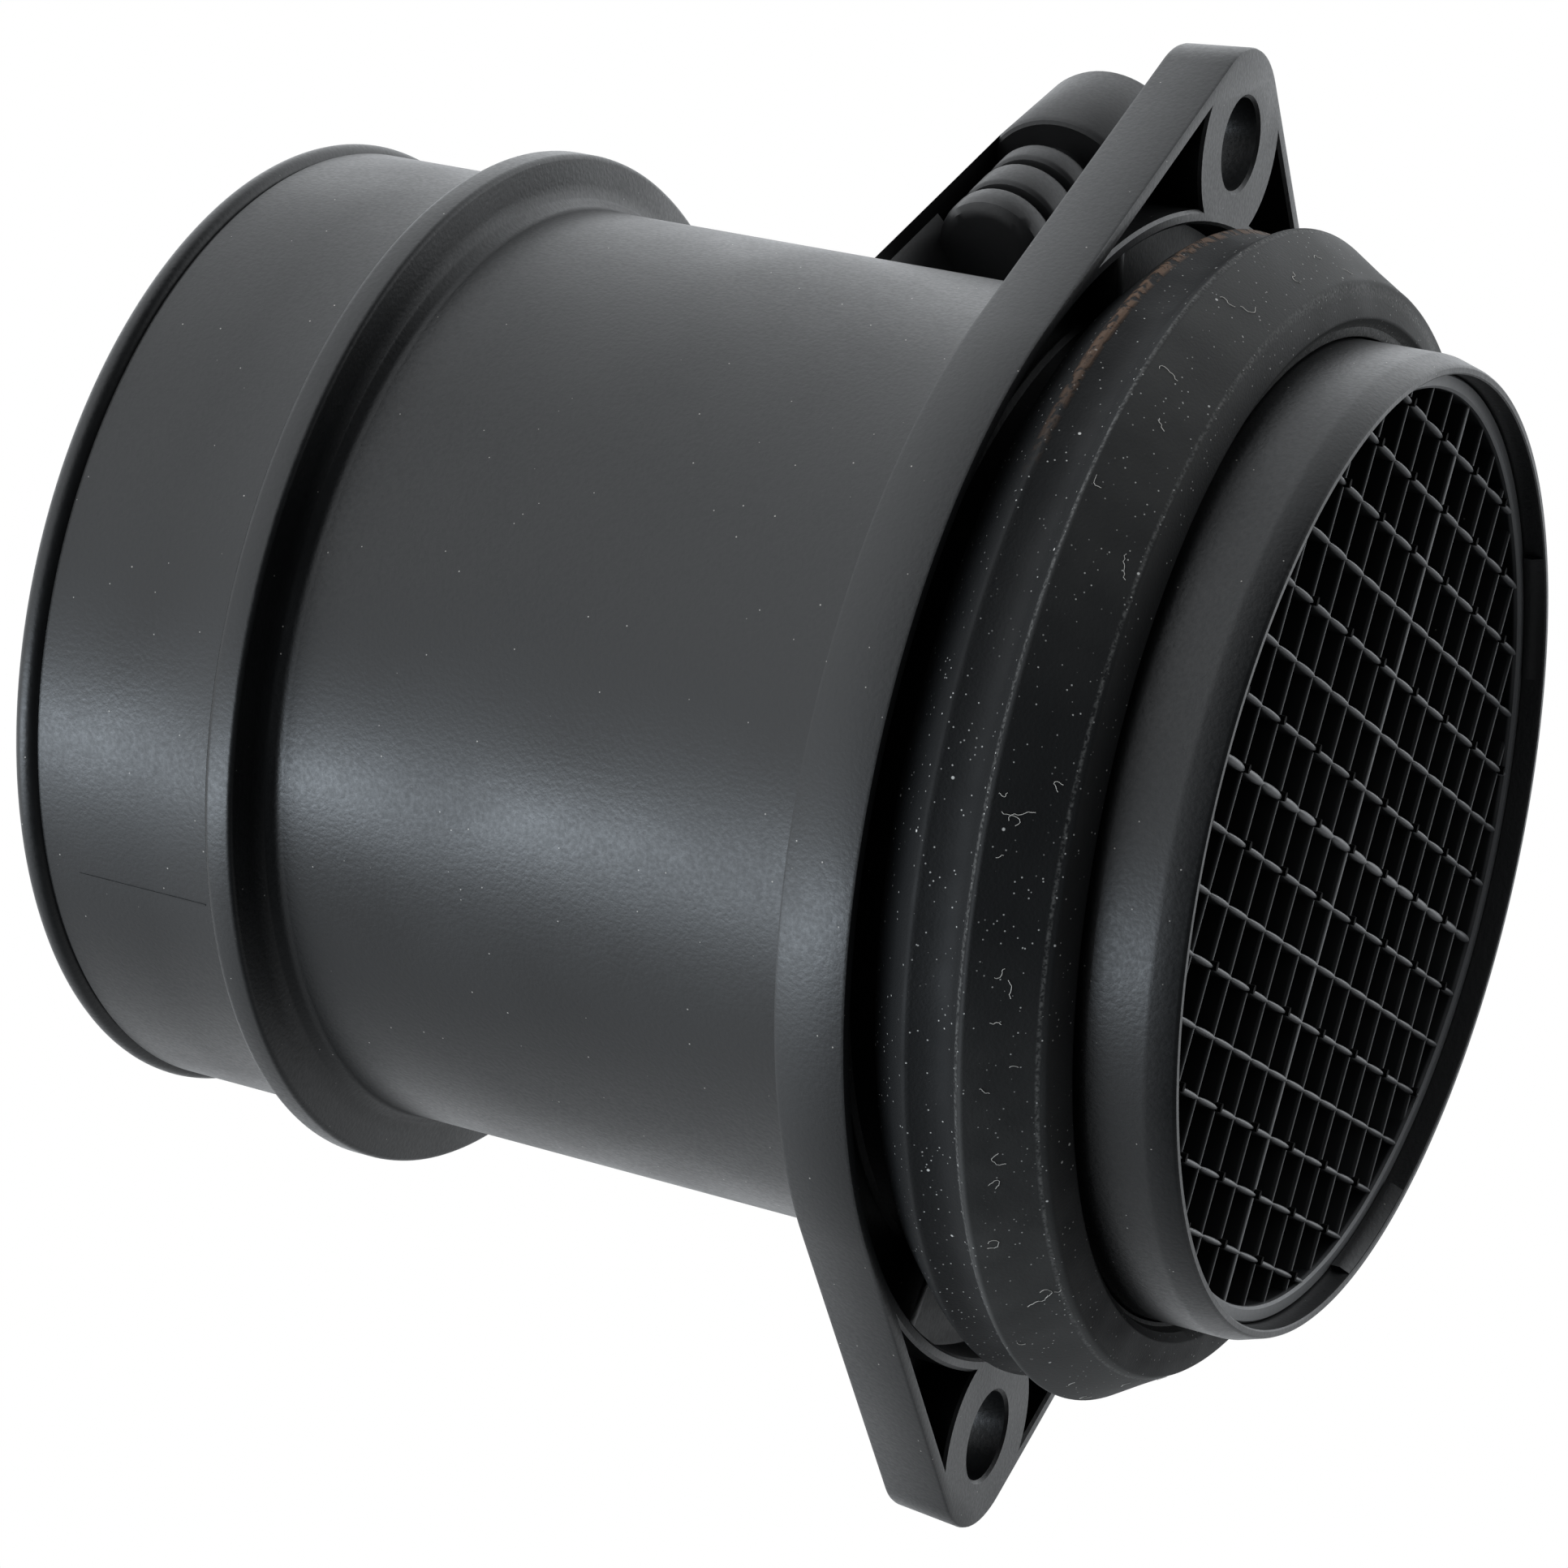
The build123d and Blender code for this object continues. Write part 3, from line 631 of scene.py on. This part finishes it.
# %% Shroud, shield and fill
shroud_reach, shroud_half_w, shroud_middle, shroud_wall, draft = 11.0, 7.3, 21.6, 1.3, 0.35
shroud_shape = slot_across_duct(shroud_reach, shroud_half_w, shroud_middle)
outside = [(shroud_low, 0.15), (48.2, -0.15), (48.6, -0.33)]
outside += [(58.6, 0.02), (58.9, 0.1), (shroud_high, 0.35)]
shroud = moulded("shroud", shroud_shape, outside)
hollow = moulded("hollow", shroud_shape, [(socket_floor, shroud_wall - 0.3), (60.0, shroud_wall)])
mouth = moulded("mouth", shroud_shape, [(58.7, shroud_wall), (59.5, shroud_wall - 0.8)])
shroud = smooth(cut(shroud, hollow, mouth))

shield = moulded("shield", shroud_shape, [(18.0, -draft), (shroud_low + 0.8, -draft)])
shield = cut(shield, moulded("inside", shroud_shape, [(17.0, 1.2 - draft), (50.0, 1.2 - draft)]))
shield = cut(shield, block("kept_side", (-9, -5.8), (-40, 0), (16, 52)), how="INTERSECT")
fill_corners = [(-7.0, 15.0, 0.3), (-6.7, 28.3, 0.6), (-6.3, 28.4, 0.6)]
fill_corners += [(-3.6, 24.9, 0.7), (-3.2, 15.0, 0.3)]
fill_rings = [(x, -y, z, r) for x, y, r in fill_corners for z in (18.0, 36.3)]
fill = skin_over("fill", fill_rings, facing="Z")


def beside_tube(piece):
    """Turn a piece into place and trim it round the tube."""
    tube = turned("tube", [(-70, 20), (-70, body_r + 0.3), (20, body_r + 0.3), (20, 20)])
    return smooth(cut(to_module(piece), tube))


plain = [smooth(to_module(piece)) for piece in [head, tower, shroud] + plug + neck[:2] + neck[3:]]
trimmed = [beside_tube(piece) for piece in (shield, fill, neck[2])]
module = joined("module_moulding", plain + trimmed)
on_part(module, "module_plastic", "module_housing")

# %% [markdown]
# ## Finishes
# Every finish is built from nodes on Object coordinates, so that it stays with the piece. A moulded
# plastic is never one grey: its colour clouds slightly, its gloss changes where hands and dust have
# been, and a fine grain breaks up the light. Noise of two sizes gives both. Dust is a scatter of small
# balls in space, of which a surface shows the ones it passes through, so the specks lie at random and
# stay round. The grid's front edges are coloured a lighter grey than its deep walls: this is painted
# light, for the light that the fronts catch.


# %% Node tools
def new_finish(name):
    material = bpy.data.materials.new(name)
    material.use_nodes = True
    tree = material.node_tree
    place = tree.nodes.new("ShaderNodeTexCoord").outputs["Object"]
    return material, tree, tree.nodes["Principled BSDF"], place


def noise(tree, place, size, detail=3.0):
    """Cloudy pattern whose blots are about a size in mm."""
    made = tree.nodes.new("ShaderNodeTexNoise")
    made.inputs["Scale"].default_value = 1 / (size * MM)
    made.inputs["Detail"].default_value = detail
    tree.links.new(place, made.inputs["Vector"])
    return made.outputs["Fac"]


def spread(tree, source, low, high, to_low, to_high):
    """Map a stretch of values to another, held at its ends."""
    made = tree.nodes.new("ShaderNodeMapRange")
    for socket, value in zip(("From Min", "From Max", "To Min", "To Max"), (low, high, to_low, to_high)):
        made.inputs[socket].default_value = value
    tree.links.new(source, made.inputs["Value"])
    return made.outputs["Result"]


def combined(tree, how, first, second):
    made = tree.nodes.new("ShaderNodeMath")
    made.operation = how
    for socket, value in zip(made.inputs, (first, second)):
        if isinstance(value, float):
            socket.default_value = value
        else:
            tree.links.new(value, socket)
    return made.outputs[0]


def tinted(tree, share, below, above):
    """Blend of two colours, or of a blend and a colour."""
    made = tree.nodes.new("ShaderNodeMix")
    made.data_type = "RGBA"
    tree.links.new(share, made.inputs[0])
    for socket, value in ((made.inputs[6], below), (made.inputs[7], above)):
        if isinstance(value, tuple):
            socket.default_value = value + (1,)
        else:
            tree.links.new(value, socket)
    return made.outputs[2]


def grain(tree, shader, height, depth):
    """Bump from a pattern, with a depth in mm."""
    made = tree.nodes.new("ShaderNodeBump")
    made.inputs["Distance"].default_value = depth * MM
    tree.links.new(height, made.inputs["Height"])
    tree.links.new(made.outputs["Normal"], shader.inputs["Normal"])


def specks(tree, place, spacing, radius):
    """White where the surface passes through small balls set at random, with sizes in mm."""
    made = tree.nodes.new("ShaderNodeTexVoronoi")
    made.inputs["Scale"].default_value = 1 / (spacing * MM)
    tree.links.new(place, made.inputs["Vector"])
    size = radius / spacing
    return spread(tree, made.outputs["Distance"], size * 0.6, size, 1.0, 0.0)


def along(tree, place, axis):
    made = tree.nodes.new("ShaderNodeSeparateXYZ")
    tree.links.new(place, made.inputs[0])
    return made.outputs[axis]


def band(tree, x, low, high, soft):
    """One between two places along an axis, and nought outside them, in mm."""
    rise = spread(tree, x, (low - soft) * MM, low * MM, 0.0, 1.0)
    fall = spread(tree, x, high * MM, (high + soft) * MM, 1.0, 0.0)
    return combined(tree, "MULTIPLY", rise, fall)


# %% Moulded plastics
# The second grey is painted light: the grid's fronts are coloured lighter to stand in for the light they
# catch. The first grey is the colour of the dust.
dust_grey, lit_front_grey = (0.42, 0.40, 0.37), (0.125, 0.128, 0.132)
lit_front_from, lit_front_to = 19.9, 20.1


def moulded_plastic(name, dark, light, gloss, dust_spacing, dust_radius, grain_depth=0.012, front=None):
    """Black nylon: clouded colour, uneven gloss, fine grain, specks and perhaps a lighter grey front, which
    is painted light.
    """
    material, tree, shader, place = new_finish(name)
    clouds = noise(tree, place, 14.0, 5.0)
    fine = noise(tree, place, 0.35, 2.0)
    colour = tinted(tree, spread(tree, clouds, 0.35, 0.65, 0.0, 1.0), dark, light)
    # A front colour given here is painted light: the front face of the piece is coloured lighter to stand
    # in for the light it catches.
    if front:
        painted_front_light = spread(tree, along(tree, place, 0), lit_front_from * MM, lit_front_to * MM, 0.0, 1.0)
        colour = tinted(tree, painted_front_light, colour, front)
    dust = combined(tree, "MULTIPLY", specks(tree, place, dust_spacing, dust_radius), 0.8)
    tree.links.new(tinted(tree, dust, colour, dust_grey), shader.inputs["Base Color"])
    uneven = spread(tree, clouds, 0.35, 0.65, gloss - 0.04, gloss + 0.04)
    mottled = combined(tree, "ADD", uneven, spread(tree, fine, 0.3, 0.7, -0.04, 0.04))
    tree.links.new(mottled, shader.inputs["Roughness"])
    shader.inputs["Specular IOR Level"].default_value = 0.5
    grain(tree, shader, fine, grain_depth)
    return material


duct_black = moulded_plastic(
    "duct_nylon", (0.004, 0.0045, 0.005), (0.006, 0.0065, 0.007), 0.40, 1.7, 0.075, 0.02
)
module_black = moulded_plastic(
    "module_nylon", (0.005, 0.005, 0.0055), (0.007, 0.007, 0.0075), 0.48, 3.0, 0.09
)
# The grid's grey front is painted light, for the light that the fronts of its bars and blades catch.
grid_black = moulded_plastic(
    "grid_nylon", (0.010, 0.011, 0.012), (0.015, 0.016, 0.017), 0.42, 4.0, 0.1, 0.004, lit_front_grey
)
# Painted shade: the stubs are coloured near black, with weak gloss, to stand in for the shade on them.
stub_painted_shade = moulded_plastic("stub_nylon_painted_shade", (0.001, 0.001, 0.001), (0.002, 0.002, 0.002), 0.7, 9.0, 0.1)
stub_painted_shade.node_tree.nodes["Principled BSDF"].inputs["Specular IOR Level"].default_value = 0.08
lid_black = moulded_plastic("lid_nylon", (0.011, 0.011, 0.012), (0.015, 0.015, 0.016), 0.55, 3.5, 0.1)

# %% [markdown]
# Rubber takes dust where plastic lets it fall. The seal has a dry grey bloom on its long front slope, a
# thin dusty line along each lip, many small specks, and a brown crust of old dirt along the top of its
# heel. The bloom is made lighter towards the slope's top and its bottom: that growth is painted light,
# for the light that falls there, and the bloom itself is dust. The bands are read from the place along
# the duct, and the noise breaks their edges.

# %% Dusty rubber
rubber, tree, shader, place = new_finish("seal_rubber")
x = along(tree, place, 0)
clouds = noise(tree, place, 5.0, 6.0)
fine = noise(tree, place, 0.25, 3.0)
on_slope = band(tree, x, 9.0, 14.2, 0.6)
tall_lip, front_lip = band(tree, x, 8.6, 8.75, 0.15), band(tree, x, 13.86, 13.96, 0.14)
on_lips = combined(tree, "MAXIMUM", tall_lip, front_lip)
height = along(tree, place, 2)
# Painted light: the bloom grows from the sides towards the top and the bottom of the seal, to stand in for
# the light that falls there; the rest of it is dust.
away = spread(tree, combined(tree, "ABSOLUTE", height, 0.0), 8 * MM, 38 * MM, 0.004, 0.085)
slope_dust_and_light = combined(tree, "MULTIPLY", on_slope, away)
bloom_and_light = combined(tree, "MULTIPLY", spread(tree, clouds, 0.3, 0.7, 0.5, 1.0), slope_dust_and_light)
edge_dust = combined(tree, "MULTIPLY", spread(tree, fine, 0.4, 0.65, 0.0, 0.12), on_lips)
in_patches = spread(tree, clouds, 0.38, 0.52, 0.1, 0.7)
small = combined(tree, "MULTIPLY", specks(tree, place, 0.6, 0.075), in_patches)
large = combined(tree, "MULTIPLY", specks(tree, place, 3.0, 0.14), 0.9)
grains = combined(tree, "MAXIMUM", small, large)
dust = combined(tree, "MAXIMUM", combined(tree, "ADD", bloom_and_light, edge_dust), grains)
rubber_colour = tinted(tree, dust, (0.004, 0.0045, 0.005), (0.60, 0.60, 0.58))
at_top = spread(tree, height, 24 * MM, 38 * MM, 0.0, 1.0)
crust = combined(tree, "MULTIPLY", band(tree, x, 3.3, 4.1, 0.25), at_top)
broken = spread(tree, noise(tree, place, 0.9, 6.0), 0.42, 0.52, 0.0, 1.0)
crust = combined(tree, "MULTIPLY", crust, broken)
tree.links.new(tinted(tree, crust, rubber_colour, (0.11, 0.065, 0.04)), shader.inputs["Base Color"])
tree.links.new(spread(tree, clouds, 0.3, 0.7, 0.60, 0.74), shader.inputs["Roughness"])
shader.inputs["Specular IOR Level"].default_value = 0.24
grain(tree, shader, combined(tree, "ADD", fine, combined(tree, "MULTIPLY", crust, 4.0)), 0.03)


# %% Small pieces
def plain_finish(name, dark, light, gloss, metal=0.0, blot=2.0):
    """Two close tones, uneven gloss and a fine grain, for the small pieces."""
    material, tree, shader, place = new_finish(name)
    clouds = noise(tree, place, blot, 4.0)
    share = spread(tree, clouds, 0.35, 0.65, 0.0, 1.0)
    tree.links.new(tinted(tree, share, dark, light), shader.inputs["Base Color"])
    tree.links.new(spread(tree, clouds, 0.3, 0.7, gloss - 0.05, gloss + 0.05), shader.inputs["Roughness"])
    shader.inputs["Metallic"].default_value = metal
    grain(tree, shader, noise(tree, place, 0.2), 0.006)
    return material


steel = plain_finish("zinc_steel", (0.52, 0.52, 0.50), (0.66, 0.66, 0.65), 0.32, 1.0)
tinned = plain_finish("tinned_brass", (0.62, 0.58, 0.46), (0.74, 0.70, 0.58), 0.26, 1.0)
sheet = plain_finish("plate_aluminium", (0.70, 0.71, 0.73), (0.80, 0.81, 0.83), 0.35, 1.0)
ring_black = plain_finish("ring_rubber", (0.012, 0.012, 0.012), (0.020, 0.020, 0.020), 0.45)
board_white = plain_finish("board_laminate", (0.68, 0.69, 0.66), (0.76, 0.77, 0.74), 0.5)
chip_black = plain_finish("chip_resin", (0.02, 0.02, 0.022), (0.035, 0.035, 0.038), 0.6, 0.0, 0.6)
fired_tan = plain_finish("capacitor_body", (0.42, 0.32, 0.21), (0.52, 0.41, 0.29), 0.4, 0.0, 0.5)
gel_clear = plain_finish("gel", (0.60, 0.63, 0.65), (0.70, 0.72, 0.74), 0.15)
film = plain_finish("sensing_film", (0.50, 0.55, 0.60), (0.62, 0.66, 0.70), 0.2, 0.0, 1.0)
bead_dark = plain_finish("bead_resin", (0.05, 0.04, 0.03), (0.08, 0.07, 0.06), 0.2, 0.0, 0.6)
lint_grey = plain_finish("lint_fibre", (0.50, 0.49, 0.46), (0.66, 0.64, 0.60), 0.7)

# %% [markdown]
# The dressed pieces take their finish directly. The small nodes have the right shape in the packed
# model already, so they stay, and only their material slots change.

# %% Finishes on the pieces
dressed = (
    (housing, duct_black),
    (seal, rubber),
    (grid, grid_black),
    (gate_marks, stub_painted_shade),
    (module, module_black),
    (lint, lint_grey),
)
for piece, material in dressed:
    piece.data.materials.clear()
    piece.data.materials.append(material)
node_finishes = {
    "electronics_cover": lid_black,
    "bypass_cover": lid_black,
    "module_o_ring": ring_black,
    "base_plate": sheet,
    "circuit_board": board_white,
    "control_chip": chip_black,
    "capacitor_1": fired_tan,
    "capacitor_2": fired_tan,
    "electronics_gel": gel_clear,
    "sensor_element": film,
    "temperature_sensor": bead_dark,
    "module_screw_1": steel,
    "module_screw_2": steel,
}
node_finishes.update({f"terminal_{number}": tinned for number in range(1, 6)})
for node, material in node_finishes.items():
    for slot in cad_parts[node].material_slots:
        slot.material = material
print("finishes", len(bpy.data.materials))

# %% [markdown]
# ## Light
# The photograph is a product shot in a white tent that is open on the inlet's side: the slopes that
# face that way are nearly black, the sides of the tube are lit evenly from the left, and every edge
# that mirrors the ground behind the object glows. So the world is bright behind, plain at the left and
# dark at the right front, and it fades towards the ground. For the camera itself it is pure white. One
# low, narrow panel makes the soft bluish band along the near side.

# %% World and panel
bpy.context.scene.view_settings.view_transform = "Standard"
world = bpy.data.worlds.new("tent")
bpy.context.scene.world = world
world.use_nodes = True
tent = world.node_tree
toward = tent.nodes.new("ShaderNodeTexCoord").outputs["Generated"]
behind = spread(tent, along(tent, toward, 1), -0.1, 0.6, 0.0, 1.75)
behind = combined(tent, "MULTIPLY", behind, spread(tent, along(tent, toward, 2), -0.4, 0.35, 0.3, 1.0))
at_left = spread(tent, along(tent, toward, 0), -0.30, 0.30, 1.25, 0.0)
at_left = combined(tent, "MULTIPLY", at_left, spread(tent, along(tent, toward, 2), -0.9, 0.3, 0.55, 1.25))
wall_light = combined(tent, "ADD", combined(tent, "MAXIMUM", behind, at_left), 0.05)
lit = tent.nodes["Background"]
lit.inputs["Color"].default_value = (0.94, 0.97, 1.0, 1)
tent.links.new(wall_light, lit.inputs["Strength"])
seen = tent.nodes.new("ShaderNodeBackground")
seen.inputs["Color"].default_value = (1, 1, 1, 1)
seen.inputs["Strength"].default_value = 1.0
either = tent.nodes.new("ShaderNodeMixShader")
tent.links.new(tent.nodes.new("ShaderNodeLightPath").outputs["Is Camera Ray"], either.inputs[0])
tent.links.new(lit.outputs[0], either.inputs[1])
tent.links.new(seen.outputs[0], either.inputs[2])
tent.links.new(either.outputs[0], tent.nodes["World Output"].inputs["Surface"])


def panel(name, place, aim, size, power, colour):
    """Soft light panel, hidden from the camera, with places in mm."""
    data = bpy.data.lights.new(name, "AREA")
    data.shape = "RECTANGLE"
    data.size, data.size_y = size[0] * MM, size[1] * MM
    data.energy = power
    data.color = colour
    lamp = bpy.data.objects.new(name, data)
    bpy.context.scene.collection.objects.link(lamp)
    lamp.location = Vector(place) * MM
    lamp.rotation_euler = (Vector(aim) * MM - lamp.location).to_track_quat("-Z", "X").to_euler()
    lamp.visible_camera = False


tube_middle = Vector((-27, 0, 0))
band_direction = Vector((-0.44, -0.765, -0.47)).normalized()
panel("low_panel", tube_middle + 420 * band_direction, tube_middle, (45, 360), 1.0, (0.80, 0.90, 1.0))
